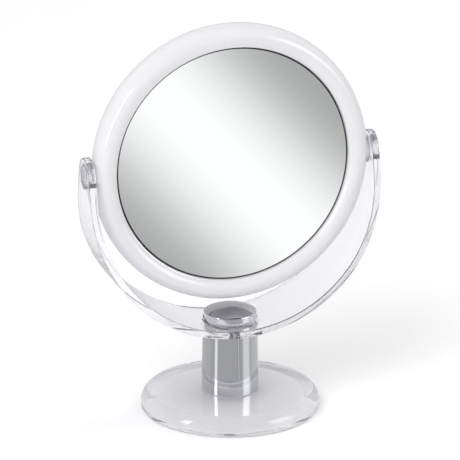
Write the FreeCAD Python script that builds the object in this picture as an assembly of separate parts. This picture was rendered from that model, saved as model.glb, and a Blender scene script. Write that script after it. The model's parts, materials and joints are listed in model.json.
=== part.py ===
import FreeCAD, Part
import math
import os

# Countertop mirror: a clear disc base, a plated column, a clear U-shaped yoke and a
# two-sided round mirror head that turns between the yoke's ears.
# Millimetres.  Origin: centre of the underside on the table.  +Z up, -Y is the flat mirror side,
# the tilt axis is parallel to X.

# --- driving dimensions --------------------------------------------------------------------
BASE_RADIUS = 55.0
BASE_UNDERSIDE_Z = 0.8
BASE_TOP_Z = 11.8
BASE_TOP_ROUND = 6.8
BASE_BOTTOM_ROUND = 1.0

FOOT_RADIUS = 5.0
FOOT_RECESS = 0.8
FOOT_CIRCLE = 42.0
FOOT_COUNT = 4
FOOT_CLEARANCE = 0.1
FOOT_EDGE_ROUND = 0.3

COLUMN_BOTTOM_RADIUS = 17.85
COLUMN_TOP_RADIUS = 16.8
COLUMN_WALL = 1.2
COLUMN_EDGE_ROUND = 0.4
COLUMN_GASKET = 0.3
COLUMN_GASKET_INSET = 0.3
CORE_RADIUS = 8.0
CORE_FLANGE_RADIUS = 14.0
CORE_FLANGE_THICKNESS = 3.0

PIVOT_Z = 159.0
YOKE_INNER_RADIUS = 87.95
YOKE_THICKNESS = 4.5
YOKE_ARM_DROP = 14.0
YOKE_HALF_WIDTH = 23.9
EAR_RADIUS = 11.2
YOKE_EDGE_ROUND = 0.7
GASKET = 0.5
GASKET_BORE_RADIUS = 5.3
YOKE_GASKET_INSET = 0.6
SEAT_MARGIN = 0.2

CAP_RADIUS = 16.3
CAP_BOTTOM_Z = 57.15
CAP_EDGE_Z = 62.63
CAP_TOP_Z = 66.63
CAP_WALL = 1.2
CAP_EDGE_ROUND = 0.8
CAP_GASKET_INSET = 0.5
CAP_POCKET_CLEARANCE = 0.2
INSERT_CLEARANCE = 0.1
INSERT_HEADROOM = 0.3

RING_OUTER_RADIUS = 87.0
RING_CREST_RADIUS = 80.2
RING_HALF_DEPTH = 11.5
RING_BORE_RADIUS = 73.8
RING_LIP_Y = 6.4
LEDGE_RADIUS = 66.0
LEDGE_HALF_DEPTH = 2.3

GLASS_RADIUS = 73.4
GLASS_THICKNESS = 2.2
BACKING_THICKNESS = 0.3
TAPE_THICKNESS = 0.9
TAPE_INSET = 1.0
MAGNIFYING_RADIUS = 900.0
BACKING_GAP = 0.6
FOAM_CLEARANCE = 0.5
FOAM_THICKNESS = 2.5

JOURNAL_RADIUS = 7.2
JOURNAL_CLEARANCE = 0.05
JOURNAL_EDGE_ROUND = 0.5
SHANK_RADIUS = 4.0
SHANK_DEPTH = 9.0
SHANK_END_GAP = 0.5
SHANK_CLEARANCE = 0.05
PIVOT_WASHER_RADIUS = 9.0
PIVOT_WASHER_THICKNESS = 0.75
PIVOT_WASHER_GAP = 0.1

BOLT_RADIUS = 3.0
BOLT_HOLE_RADIUS = 3.3
BOLT_HEAD_RADIUS = 5.0
BOLT_HEAD_HEIGHT = 3.3
BOLT_TOP_Z = 62.5
BOLT_SOCKET_FLATS = 4.0
BOLT_SOCKET_DEPTH = 2.2
WASHER_RADIUS = 8.0
WASHER_THICKNESS = 1.2
COUNTERBORE_RADIUS = 9.0
COUNTERBORE_TOP_Z = 6.2
NUT_FLATS = 10.0
NUT_HEIGHT = 5.0
NUT_CLEARANCE = 0.2
NUT_BOTTOM_Z = 57.95

PAST = 1.0  # how far a cutting or joining body reaches past the face that it goes through
SAME_PLACE = 0.01  # places closer than this are the same place

# --- places worked out from them -------------------------------------------------------------
UP = FreeCAD.Vector(0, 0, 1)
RIGHT = FreeCAD.Vector(1, 0, 0)
BACK = FreeCAD.Vector(0, 1, 0)
YOKE_OUTER_RADIUS = YOKE_INNER_RADIUS + YOKE_THICKNESS
ARC_CENTRE_Z = PIVOT_Z - YOKE_ARM_DROP
YOKE_BOTTOM_Z = ARC_CENTRE_Z - YOKE_OUTER_RADIUS
COLUMN_FOOT_Z = BASE_TOP_Z + COLUMN_GASKET
COLUMN_TOP_Z = YOKE_BOTTOM_Z - GASKET
CAP_SEAT_Z = CAP_BOTTOM_Z - GASKET
FLAT_GLASS_BACK_Y = LEDGE_HALF_DEPTH + TAPE_THICKNESS


def at(x, y, z):
    return FreeCAD.Vector(x, y, z)


def write(node, shape):
    """Writes one sub-part after testing that it is valid and holds volume."""
    if not shape.isValid() or shape.Volume <= 0:
        raise ValueError("bad shape: " + node)
    shape.exportStep(os.path.join("parts", node + ".step"))
    print(node, len(shape.Solids), "solid(s)", round(shape.Volume, 1), "mm3")


def cylinder(radius, z_low, z_high, x=0.0, y=0.0):
    return Part.makeCylinder(radius, z_high - z_low, at(x, y, z_low), UP)


def tube(outer, inner, z_low, z_high):
    return cylinder(outer, z_low, z_high).cut(cylinder(inner, z_low - PAST, z_high + PAST))


def rod_x(radius, x_low, x_high):
    """A cylinder on the tilt axis, from x_low to x_high."""
    return Part.makeCylinder(radius, x_high - x_low, at(x_low, 0, PIVOT_Z), RIGHT)


def disc_y(radius, y_low, y_high):
    """A disc of the mirror head, whose axis is parallel to Y."""
    return Part.makeCylinder(radius, y_high - y_low, at(0, y_low, PIVOT_Z), BACK)


def hexagon(flats, z_low, z_high):
    corner = flats / math.sqrt(3)
    points = []
    for step in range(7):
        angle = math.radians(60 * step)
        points.append(at(corner * math.cos(angle), corner * math.sin(angle), z_low))
    return Part.Face(Part.makePolygon(points)).extrude(at(0, 0, z_high - z_low))


def line(a, b):
    return Part.LineSegment(a, b).toShape()


def arc(a, middle, b):
    return Part.Arc(a, middle, b).toShape()


def corner_arc(centre_r, centre_z, radius, start_deg, end_deg):
    """An arc in the XZ plane, between two angles from +X towards +Z."""
    points = []
    for angle in (start_deg, (start_deg + end_deg) / 2, end_deg):
        turn = math.radians(angle)
        points.append(at(centre_r + radius * math.cos(turn), 0, centre_z + radius * math.sin(turn)))
    return arc(*points)


def circles_at(shape, z):
    """The edges of a turned shape that lie flat at a height."""
    return [edge for edge in shape.Edges if abs(edge.CenterOfMass.z - z) < SAME_PLACE]


def turned(edges):
    """The solid made by turning a closed XZ outline about the Z axis."""
    return Part.Face(Part.Wire(edges)).revolve(at(0, 0, 0), UP, 360)


# --- base ----------------------------------------------------------------------------------
def base_disc():
    top_centre = BASE_RADIUS - BASE_TOP_ROUND
    low_centre = BASE_RADIUS - BASE_BOTTOM_ROUND
    low_z = BASE_UNDERSIDE_Z + BASE_BOTTOM_ROUND
    high_z = BASE_TOP_Z - BASE_TOP_ROUND
    edges = [
        line(at(0, 0, BASE_TOP_Z), at(0, 0, BASE_UNDERSIDE_Z)),
        line(at(0, 0, BASE_UNDERSIDE_Z), at(low_centre, 0, BASE_UNDERSIDE_Z)),
        corner_arc(low_centre, low_z, BASE_BOTTOM_ROUND, -90, 0),
        line(at(BASE_RADIUS, 0, low_z), at(BASE_RADIUS, 0, high_z)),
        corner_arc(top_centre, high_z, BASE_TOP_ROUND, 0, 90),
        line(at(top_centre, 0, BASE_TOP_Z), at(0, 0, BASE_TOP_Z)),
    ]
    disc = turned(edges)
    disc = disc.cut(cylinder(COUNTERBORE_RADIUS, 0, COUNTERBORE_TOP_Z))
    disc = disc.cut(cylinder(BOLT_HOLE_RADIUS, 0, BASE_TOP_Z + PAST))
    for x, y in foot_places():
        disc = disc.cut(cylinder(FOOT_RADIUS + FOOT_CLEARANCE, 0, BASE_UNDERSIDE_Z + FOOT_RECESS, x, y))
    return disc


def foot_places():
    places = []
    for index in range(FOOT_COUNT):
        angle = math.radians(45 + 360 / FOOT_COUNT * index)
        places.append((FOOT_CIRCLE * math.cos(angle), FOOT_CIRCLE * math.sin(angle)))
    return places


def base_feet():
    feet = []
    for x, y in foot_places():
        pad = cylinder(FOOT_RADIUS, 0, BASE_UNDERSIDE_Z + FOOT_RECESS, x, y)
        feet.append(pad.makeFillet(FOOT_EDGE_ROUND, circles_at(pad, 0)))
    return Part.makeCompound(feet)


# --- column --------------------------------------------------------------------------------
def column_sleeve():
    """Tapered plated cover, closed at the top by a plate with the bolt hole in it."""
    height = COLUMN_TOP_Z - COLUMN_FOOT_Z
    outside = Part.makeCone(COLUMN_BOTTOM_RADIUS, COLUMN_TOP_RADIUS, height, at(0, 0, COLUMN_FOOT_Z), UP)
    outside = outside.makeFillet(COLUMN_EDGE_ROUND, circles_at(outside, COLUMN_TOP_Z))
    inside = Part.makeCone(
        COLUMN_BOTTOM_RADIUS - COLUMN_WALL,
        COLUMN_TOP_RADIUS - COLUMN_WALL,
        height - COLUMN_WALL,
        at(0, 0, COLUMN_FOOT_Z),
        UP,
    )
    hole = cylinder(BOLT_HOLE_RADIUS, COLUMN_FOOT_Z, COLUMN_TOP_Z + PAST)
    return outside.cut(inside).cut(hole)


def column_core():
    """Spacer tube that takes the bolt's pull, with a flange at each end inside the sleeve."""
    top_z = COLUMN_TOP_Z - COLUMN_WALL
    core = cylinder(CORE_RADIUS, COLUMN_FOOT_Z, top_z)
    core = core.fuse(cylinder(CORE_FLANGE_RADIUS, COLUMN_FOOT_Z, COLUMN_FOOT_Z + CORE_FLANGE_THICKNESS))
    core = core.fuse(cylinder(CORE_FLANGE_RADIUS, top_z - CORE_FLANGE_THICKNESS, top_z))
    return core.cut(cylinder(BOLT_HOLE_RADIUS, COLUMN_FOOT_Z - PAST, top_z + PAST)).removeSplitter()


def column_gasket():
    return tube(COLUMN_BOTTOM_RADIUS - COLUMN_GASKET_INSET, GASKET_BORE_RADIUS, BASE_TOP_Z, COLUMN_FOOT_Z)


def tie_bolt():
    head_z = COUNTERBORE_TOP_Z - WASHER_THICKNESS - BOLT_HEAD_HEIGHT
    head = cylinder(BOLT_HEAD_RADIUS, head_z, head_z + BOLT_HEAD_HEIGHT)
    head = head.cut(hexagon(BOLT_SOCKET_FLATS, head_z - PAST, head_z + BOLT_SOCKET_DEPTH))
    bolt = head.fuse(cylinder(BOLT_RADIUS, head_z + BOLT_SOCKET_DEPTH, BOLT_TOP_Z))
    return bolt.removeSplitter()


def bolt_washer():
    return tube(WASHER_RADIUS, BOLT_HOLE_RADIUS, COUNTERBORE_TOP_Z - WASHER_THICKNESS, COUNTERBORE_TOP_Z)


# --- yoke ----------------------------------------------------------------------------------
def u_outline(radius, top_z):
    """Closed outline in the XZ plane: two upright sides joined by a half circle below."""
    left_top = at(-radius, -YOKE_HALF_WIDTH - PAST, top_z)
    right_top = at(radius, -YOKE_HALF_WIDTH - PAST, top_z)
    left = at(-radius, -YOKE_HALF_WIDTH - PAST, ARC_CENTRE_Z)
    right = at(radius, -YOKE_HALF_WIDTH - PAST, ARC_CENTRE_Z)
    bottom = at(0, -YOKE_HALF_WIDTH - PAST, ARC_CENTRE_Z - radius)
    edges = [
        line(left_top, left),
        arc(left, bottom, right),
        line(right, right_top),
        line(right_top, left_top),
    ]
    return Part.Face(Part.Wire(edges)).extrude(at(0, 2 * (YOKE_HALF_WIDTH + PAST), 0))


def flank_radius():
    """Radius of the side outline's arc, upright at the bottom and tangent to the ear's circle."""
    rise = PIVOT_Z - YOKE_BOTTOM_Z
    spread = YOKE_HALF_WIDTH - EAR_RADIUS
    return (rise ** 2 + YOKE_HALF_WIDTH ** 2 - EAR_RADIUS ** 2) / (2 * spread)


def side_envelope():
    """The yoke's outline from the side: round ears that widen downwards along two long arcs."""
    flank = flank_radius()
    centre_y = YOKE_HALF_WIDTH - flank
    rise = PIVOT_Z - YOKE_BOTTOM_Z
    top_angle = math.atan2(rise, -centre_y)
    x = -YOKE_OUTER_RADIUS - PAST

    def flank_point(angle, side):
        y = centre_y + flank * math.cos(angle)
        return at(x, side * y, YOKE_BOTTOM_Z + flank * math.sin(angle))

    edges = [
        line(flank_point(0, -1), flank_point(0, 1)),
        arc(flank_point(0, 1), flank_point(top_angle / 2, 1), flank_point(top_angle, 1)),
        arc(flank_point(top_angle, 1), at(x, 0, PIVOT_Z + EAR_RADIUS), flank_point(top_angle, -1)),
        arc(flank_point(top_angle, -1), flank_point(top_angle / 2, -1), flank_point(0, -1)),
    ]
    return Part.Face(Part.Wire(edges)).extrude(at(2 * (YOKE_OUTER_RADIUS + PAST), 0, 0))


def yoke():
    """Bent band with rounded edges, a flat seat for column and cap, and a hole through both ears."""
    top_z = PIVOT_Z + EAR_RADIUS + PAST
    band = u_outline(YOKE_OUTER_RADIUS, top_z).cut(u_outline(YOKE_INNER_RADIUS, top_z + PAST))
    band = band.common(side_envelope())
    band = band.makeFillet(YOKE_EDGE_ROUND, long_yoke_edges(band))
    band = band.fuse(cylinder(COLUMN_TOP_RADIUS + SEAT_MARGIN, YOKE_BOTTOM_Z, CAP_SEAT_Z))
    band = band.cut(cylinder(CAP_RADIUS + CAP_POCKET_CLEARANCE, CAP_SEAT_Z, CAP_TOP_Z))
    band = band.cut(cylinder(BOLT_HOLE_RADIUS, YOKE_BOTTOM_Z - PAST, CAP_SEAT_Z + PAST))
    ear_hole = rod_x(JOURNAL_RADIUS + JOURNAL_CLEARANCE, -YOKE_OUTER_RADIUS - PAST, YOKE_OUTER_RADIUS + PAST)
    return band.cut(ear_hole).removeSplitter()


def long_yoke_edges(band):
    """The edges along the band, leaving out the short ones across its thickness."""
    chosen = []
    for edge in band.Edges:
        ends = [vertex.Point for vertex in edge.Vertexes]
        level = len(ends) == 2 and abs(ends[0].y - ends[1].y) < SAME_PLACE
        across = level and edge.Length < 2 * YOKE_THICKNESS
        if not across:
            chosen.append(edge)
    return chosen


def yoke_gasket_lower():
    return tube(COLUMN_TOP_RADIUS - YOKE_GASKET_INSET, GASKET_BORE_RADIUS, COLUMN_TOP_Z, YOKE_BOTTOM_Z)


def yoke_gasket_upper():
    return tube(CAP_RADIUS - CAP_GASKET_INSET, GASKET_BORE_RADIUS, CAP_SEAT_Z, CAP_BOTTOM_Z)


# --- cap -----------------------------------------------------------------------------------
def domed_plug(radius, low_z, edge_z, top_z, round_radius):
    """A short cylinder closed by a shallow spherical dome, with the corner between them rounded."""
    sag = top_z - edge_z
    sphere = (radius ** 2 + sag ** 2) / (2 * sag)
    half = math.asin(radius / sphere) / 2
    middle = at(sphere * math.sin(half), 0, top_z - sphere * (1 - math.cos(half)))
    edges = [
        line(at(0, 0, top_z), at(0, 0, low_z)),
        line(at(0, 0, low_z), at(radius, 0, low_z)),
        line(at(radius, 0, low_z), at(radius, 0, edge_z)),
        arc(at(radius, 0, edge_z), middle, at(0, 0, top_z)),
    ]
    plug = turned(edges)
    if round_radius > 0:
        plug = plug.makeFillet(round_radius, circles_at(plug, edge_z))
    return plug


def cap_shell():
    outside = domed_plug(CAP_RADIUS, CAP_BOTTOM_Z, CAP_EDGE_Z, CAP_TOP_Z, CAP_EDGE_ROUND)
    inside = domed_plug(
        CAP_RADIUS - CAP_WALL, CAP_BOTTOM_Z - PAST, CAP_EDGE_Z - CAP_WALL, CAP_TOP_Z - CAP_WALL, 0
    )
    return outside.cut(inside)


def cap_insert():
    """Plastic plug under the dome, with the pocket that stops the nut from turning."""
    radius = CAP_RADIUS - CAP_WALL - INSERT_CLEARANCE
    plug = cylinder(radius, CAP_BOTTOM_Z, CAP_EDGE_Z - CAP_WALL - INSERT_HEADROOM)
    plug = plug.cut(hexagon(NUT_FLATS + NUT_CLEARANCE, NUT_BOTTOM_Z, CAP_TOP_Z))
    return plug.cut(cylinder(BOLT_HOLE_RADIUS, CAP_BOTTOM_Z - PAST, CAP_TOP_Z))


def cap_nut():
    nut = hexagon(NUT_FLATS, NUT_BOTTOM_Z, NUT_BOTTOM_Z + NUT_HEIGHT)
    return nut.cut(cylinder(BOLT_RADIUS, NUT_BOTTOM_Z - PAST, NUT_BOTTOM_Z + NUT_HEIGHT + PAST))


# --- mirror head ---------------------------------------------------------------------------
def section_point(r, y):
    """A point of the ring's section: r outward from the centre along X, y along the ring's axis."""
    return at(r, y, PIVOT_Z)


def quarter(centre_r, centre_y, reach_r, reach_y):
    """A quarter ellipse from the outward or inward end (reach_r) to the crest (reach_y)."""
    points = []
    steps = 12
    for step in range(steps + 1):
        turn = math.radians(90 * step / steps)
        r, y = centre_r + reach_r * math.cos(turn), centre_y + reach_y * math.sin(turn)
        points.append(section_point(r, y))
    curve = Part.BSplineCurve()
    start = FreeCAD.Vector(0, reach_y, 0).normalize()
    end = FreeCAD.Vector(-reach_r, 0, 0).normalize()
    curve.interpolate(Points=points, InitialTangent=start, FinalTangent=end)
    return curve.toShape()


def mirror_ring():
    """Milky one-piece ring, rounded front and back, with a ledge in its bore for both glasses."""
    outward = RING_OUTER_RADIUS - RING_CREST_RADIUS
    inward = RING_BORE_RADIUS - RING_CREST_RADIUS
    rise = RING_HALF_DEPTH - RING_LIP_Y
    lip_front = section_point(RING_BORE_RADIUS, -RING_LIP_Y)
    lip_rear = section_point(RING_BORE_RADIUS, RING_LIP_Y)
    corner_front = section_point(RING_BORE_RADIUS, -LEDGE_HALF_DEPTH)
    corner_rear = section_point(RING_BORE_RADIUS, LEDGE_HALF_DEPTH)
    ledge_front = section_point(LEDGE_RADIUS, -LEDGE_HALF_DEPTH)
    ledge_rear = section_point(LEDGE_RADIUS, LEDGE_HALF_DEPTH)
    edges = [
        quarter(RING_CREST_RADIUS, 0, outward, -RING_HALF_DEPTH),
        quarter(RING_CREST_RADIUS, -RING_LIP_Y, inward, -rise),
        line(lip_front, corner_front),
        line(corner_front, ledge_front),
        line(ledge_front, ledge_rear),
        line(ledge_rear, corner_rear),
        line(corner_rear, lip_rear),
        quarter(RING_CREST_RADIUS, RING_LIP_Y, inward, rise),
        quarter(RING_CREST_RADIUS, 0, outward, RING_HALF_DEPTH),
    ]
    outline = Part.Wire(Part.__sortEdges__(edges))
    ring = Part.Face(outline).revolve(at(0, 0, PIVOT_Z), BACK, 360)
    for side in (-1, 1):
        low, high = sorted((side * (RING_CREST_RADIUS + PAST), side * boss_face_x()))
        ring = ring.fuse(rod_x(PIVOT_WASHER_RADIUS, low, high))
        low, high = sorted((side * (boss_face_x() - SHANK_DEPTH), side * (boss_face_x() + PAST)))
        ring = ring.cut(rod_x(SHANK_RADIUS, low, high))
    return ring.removeSplitter()


def boss_face_x():
    """Flat face of the ring's pivot boss, where the friction washer lies."""
    return YOKE_INNER_RADIUS - PIVOT_WASHER_GAP - PIVOT_WASHER_THICKNESS


def flat_glass():
    return disc_y(GLASS_RADIUS, -FLAT_GLASS_BACK_Y - BACKING_THICKNESS - GLASS_THICKNESS,
                  -FLAT_GLASS_BACK_Y - BACKING_THICKNESS)


def flat_backing():
    return disc_y(GLASS_RADIUS - BACKING_GAP, -FLAT_GLASS_BACK_Y - BACKING_THICKNESS, -FLAT_GLASS_BACK_Y)


def curved_layer(radius, first, second):
    """A layer parallel to the magnifying face, whose two faces are at these distances behind it."""
    rim_y = FLAT_GLASS_BACK_Y + BACKING_THICKNESS + GLASS_THICKNESS
    centre_y = rim_y + math.sqrt(MAGNIFYING_RADIUS ** 2 - GLASS_RADIUS ** 2)
    blank = disc_y(radius, -RING_HALF_DEPTH, RING_HALF_DEPTH)
    near = Part.makeSphere(MAGNIFYING_RADIUS + first, at(0, centre_y, PIVOT_Z))
    far = Part.makeSphere(MAGNIFYING_RADIUS + second, at(0, centre_y, PIVOT_Z))
    return blank.common(far).cut(near)


def magnifying_glass():
    return curved_layer(GLASS_RADIUS, 0, GLASS_THICKNESS)


def magnifying_backing():
    return curved_layer(GLASS_RADIUS - BACKING_GAP, GLASS_THICKNESS, GLASS_THICKNESS + BACKING_THICKNESS)


def bonding_tape(side):
    low, high = sorted((side * LEDGE_HALF_DEPTH, side * (LEDGE_HALF_DEPTH + TAPE_THICKNESS)))
    ring = disc_y(GLASS_RADIUS - TAPE_INSET, low, high)
    ring = ring.cut(disc_y(LEDGE_RADIUS + TAPE_INSET, low - PAST, high + PAST))
    if side < 0:
        return ring
    rear_stack = curved_layer(GLASS_RADIUS + PAST, -2 * RING_HALF_DEPTH, GLASS_THICKNESS + BACKING_THICKNESS)
    return ring.cut(rear_stack)


def foam_core():
    """Soft disc that fills the space inside the ledge, behind the flat glass."""
    return disc_y(LEDGE_RADIUS - FOAM_CLEARANCE, -FLAT_GLASS_BACK_Y, -FLAT_GLASS_BACK_Y + FOAM_THICKNESS)


def pivot_plug(side):
    """Clear pin: a wide journal that turns in the ear, and a shank pressed into the ring."""
    journal = rod_x(JOURNAL_RADIUS, YOKE_INNER_RADIUS - PIVOT_WASHER_GAP, YOKE_OUTER_RADIUS)
    rim = [
        edge
        for edge in journal.Edges
        if abs(edge.CenterOfMass.x - YOKE_OUTER_RADIUS) < SAME_PLACE
    ]
    journal = journal.makeFillet(JOURNAL_EDGE_ROUND, rim)
    shank = rod_x(SHANK_RADIUS, boss_face_x() - SHANK_DEPTH + SHANK_END_GAP, YOKE_INNER_RADIUS + PAST)
    plug = journal.fuse(shank).removeSplitter()
    if side < 0:
        plug = plug.mirror(at(0, 0, 0), RIGHT)
    return plug


def pivot_washer(side):
    low, high = sorted((side * boss_face_x(), side * (boss_face_x() + PIVOT_WASHER_THICKNESS)))
    hole = rod_x(SHANK_RADIUS + SHANK_CLEARANCE, low - PAST, high + PAST)
    return rod_x(PIVOT_WASHER_RADIUS, low, high).cut(hole)


def main():
    os.makedirs("parts", exist_ok=True)
    write("base_disc", base_disc())
    write("base_feet", base_feet())
    write("column_gasket", column_gasket())
    write("column_sleeve", column_sleeve())
    write("column_core", column_core())
    write("tie_bolt", tie_bolt())
    write("bolt_washer", bolt_washer())
    write("yoke_gasket_lower", yoke_gasket_lower())
    write("yoke", yoke())
    write("yoke_gasket_upper", yoke_gasket_upper())
    write("cap_insert", cap_insert())
    write("cap_nut", cap_nut())
    write("cap_shell", cap_shell())
    write("mirror_ring", mirror_ring())
    write("flat_mirror_glass", flat_glass())
    write("flat_mirror_backing", flat_backing())
    write("flat_mirror_tape", bonding_tape(-1))
    write("magnifying_mirror_glass", magnifying_glass())
    write("magnifying_mirror_backing", magnifying_backing())
    write("magnifying_mirror_tape", bonding_tape(1))
    write("foam_core", foam_core())
    for side, name in ((-1, "left"), (1, "right")):
        write("pivot_plug_" + name, pivot_plug(side))
        write("pivot_washer_" + name, pivot_washer(side))


main()
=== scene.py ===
"""Looks for a two-sided countertop mirror: clear acrylic base and yoke, milky ring, chrome column and cap."""

import json
import math

import bpy
import numpy as np
from bpy.props import FloatProperty, FloatVectorProperty, IntProperty, PointerProperty
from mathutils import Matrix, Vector


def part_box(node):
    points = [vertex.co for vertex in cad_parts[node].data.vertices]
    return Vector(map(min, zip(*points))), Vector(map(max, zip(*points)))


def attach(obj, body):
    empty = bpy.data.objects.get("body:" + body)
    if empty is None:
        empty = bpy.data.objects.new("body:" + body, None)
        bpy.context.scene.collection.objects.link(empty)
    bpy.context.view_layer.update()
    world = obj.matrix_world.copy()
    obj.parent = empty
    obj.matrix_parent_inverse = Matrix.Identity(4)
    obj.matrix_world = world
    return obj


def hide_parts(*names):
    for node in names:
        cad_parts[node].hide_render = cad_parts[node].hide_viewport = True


bl_info = {
    "name": "Countertop mirror",
    "version": (1, 0, 0),
    "blender": (4, 5, 0),
    "location": "View3D > Sidebar > Mirror",
    "description": "Builds the visible pieces, finishes and studio of a two-sided countertop mirror",
    "category": "Object",
}

MM = 0.001

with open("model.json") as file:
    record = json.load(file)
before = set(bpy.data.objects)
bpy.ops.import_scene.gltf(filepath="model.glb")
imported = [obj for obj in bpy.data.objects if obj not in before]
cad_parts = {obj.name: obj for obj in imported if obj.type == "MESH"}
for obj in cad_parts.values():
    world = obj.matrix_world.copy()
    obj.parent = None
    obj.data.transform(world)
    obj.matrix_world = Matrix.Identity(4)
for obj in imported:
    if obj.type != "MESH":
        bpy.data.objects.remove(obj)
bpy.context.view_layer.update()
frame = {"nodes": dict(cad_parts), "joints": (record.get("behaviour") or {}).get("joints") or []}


# --- places read from the frame, in metres -----------------------------------------------------
def low(node, axis):
    """The lowest place of a CAD node along one axis."""
    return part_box(node)[0][axis]


def high(node, axis):
    """The highest place of a CAD node along one axis."""
    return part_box(node)[1][axis]


def across(node, axis):
    """Half of a CAD node's extent along one axis, which is the radius of a round one."""
    return (high(node, axis) - low(node, axis)) / 2


X, Y, Z = 0, 1, 2
PIVOT_Z = frame["joints"][0]["pos_m"][Z]
BASE_RADIUS = across("base_disc", Y)
BASE_LOW_Z = low("base_disc", Z)
BASE_TOP_Z = high("base_disc", Z)
COLUMN_FOOT_RADIUS = across("column_sleeve", Y)
COLUMN_FOOT_Z = low("column_sleeve", Z)
COLUMN_TOP_Z = high("column_sleeve", Z)
YOKE_OUTER_RADIUS = across("yoke", X)
YOKE_HALF_WIDTH = across("yoke", Y)
YOKE_BOTTOM_Z = low("yoke", Z)
EAR_RADIUS = high("yoke", Z) - PIVOT_Z
CAP_RADIUS = across("cap_shell", Y)
CAP_LOW_Z = low("cap_shell", Z)
CAP_TOP_Z = high("cap_shell", Z)
SEAT_Z = low("yoke_gasket_upper", Z)
RING_RADIUS = across("mirror_ring", Z)
RING_HALF_DEPTH = across("mirror_ring", Y)
BOSS_FACE_X = high("mirror_ring", X)
BOSS_RADIUS = across("pivot_washer_right", Z)
GLASS_RADIUS = across("flat_mirror_glass", Z)
GLASS_FRONT_Y = low("flat_mirror_glass", Y)
GLASS_BACK_Y = high("flat_mirror_glass", Y)
JOURNAL_RADIUS = across("pivot_plug_right", Z)
JOURNAL_END_X = high("pivot_plug_right", X)
WASHER_LOW_X = low("pivot_washer_right", X)
WASHER_HIGH_X = high("pivot_washer_right", X)

# --- sizes of the pieces that the boxes don't give -----------------------------------------------
BASE_TOP_ROUND = 6.8 * MM
BASE_LOW_ROUND = 1.0 * MM
BASE_RUN = 4.0 * MM  # longest straight run between two points of the base's outline
BOLT_HOLE_RADIUS = 3.3 * MM
COUNTERBORE_RADIUS = 9.0 * MM
COUNTERBORE_TOP_Z = high("bolt_washer", Z)
FROSTED_RADIUS = 49.5 * MM
TURNED_EDGE = 0.2 * MM  # rounding of small turned edges
FOOT_RADIUS = 5.0 * MM
FOOT_CIRCLE = 42.0 * MM
FOOT_LOW_ROUND = 0.35 * MM
FOOT_TOP_ROUND = 0.05 * MM
COLUMN_TOP_RADIUS = 16.8 * MM
COLUMN_WALL = 1.2 * MM
COLUMN_RUN = 3.0 * MM
GASKET_BORE_RADIUS = BOLT_HOLE_RADIUS + 2 * MM
GASKET_ROUND = 0.1 * MM
YOKE_THICKNESS = 4.5 * MM
YOKE_ARM_DROP = 14.0 * MM
YOKE_EDGE_ROUND = 0.7 * MM
EAR_CLEARANCE = 0.05 * MM
AIR_GAP = 0.02 * MM  # kept between soft and clear pieces, so that no two surfaces lie in one place
SEAT_RADIUS = 16.5 * MM
CAP_EDGE_DROP = 4.0 * MM
CAP_EDGE_ROUND = 0.8 * MM
CAP_WALL = 1.2 * MM
RING_CREST_RADIUS = 80.2 * MM
RING_BORE_RADIUS = 73.8 * MM
RING_LIP_Y = 6.4 * MM
BOSS_EDGE = 1.2 * MM
BOSS_FALL = 3.0
LEDGE_RADIUS = 66.0 * MM
LEDGE_HALF_DEPTH = 2.3 * MM
LEDGE_EDGE = 0.15 * MM
MAGNIFYING_RADIUS = 900.0 * MM
GLASS_THICKNESS = 2.2 * MM
GLASS_ARRIS = 0.35 * MM
# width of the dark strip round the rim of each mirror face: painted shade of the gap between glass and ring
GAP_SHADE_RIM = 0.8 * MM
SHANK_RADIUS = 4.0 * MM
WASHER_ROUND = 0.15 * MM
SAME_PLACE = 0.01 * MM

# --- steps of the finer and coarser meshes ---------------------------------------------------------
FOOT_TURNS = 64
PIVOT_TURNS = 128
BAND_STEPS = 288
BAND_ROWS = 17
EAR_STEPS = 72
SEAT_STEPS = 24
CREST_STEPS = 60
LIP_STEPS = 24

# The yoke's middle line is a half circle with two upright arms. Its flanks are arcs of one large circle,
# upright at the bottom and tangent to the ears' circles.
ARC_CENTRE_Z = PIVOT_Z - YOKE_ARM_DROP
YOKE_MID_RADIUS = YOKE_OUTER_RADIUS - YOKE_THICKNESS / 2
QUARTER_TURN = YOKE_MID_RADIUS * math.pi / 2
PATH_LENGTH = QUARTER_TURN + YOKE_ARM_DROP  # from the lowest point to the pivot
YOKE_RISE = PIVOT_Z - YOKE_BOTTOM_Z
FLANK_RADIUS = (YOKE_RISE**2 + YOKE_HALF_WIDTH**2 - EAR_RADIUS**2) / (2 * (YOKE_HALF_WIDTH - EAR_RADIUS))
FLANK_CENTRE_Y = YOKE_HALF_WIDTH - FLANK_RADIUS
SEAT_HALF = YOKE_HALF_WIDTH * 0.98
EAR_CUT = JOURNAL_RADIUS + 3.2 * MM  # how far below the pivot the band meets the ear


# --- mesh helpers --------------------------------------------------------------------------------
def add_piece(name, points, faces, material, body, replaced=(), edge_material=None, edge_faces=None):
    """Makes one mesh object at the origin, with its finish, body and slot, and hides what it stands for."""
    mesh = bpy.data.meshes.new(name)
    mesh.from_pydata(points.tolist(), [], faces)
    mesh.validate(verbose=False)
    mesh.materials.append(material)
    if edge_material is not None:
        mesh.materials.append(edge_material)
        mesh.polygons.foreach_set("material_index", edge_faces.astype(np.int32))
    mesh.polygons.foreach_set("use_smooth", np.ones(len(mesh.polygons), bool))
    mesh.update()
    piece = bpy.data.objects.new(name, mesh)
    bpy.context.scene.collection.objects.link(piece)
    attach(piece, body)
    if replaced:
        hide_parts(*replaced)
    return piece


def grid_faces(rows, columns, closed_rows=False, closed_columns=False):
    """Four-sided faces of a grid of rows x columns points, as index lists, closed where asked."""
    last_row = rows if closed_rows else rows - 1
    last_column = columns if closed_columns else columns - 1
    i, j = np.meshgrid(np.arange(last_row), np.arange(last_column), indexing="ij")
    next_i, next_j = (i + 1) % rows, (j + 1) % columns
    corners = [i * columns + j, next_i * columns + j, next_i * columns + next_j, i * columns + next_j]
    return np.stack(corners, -1).reshape(-1, 4).tolist()


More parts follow.
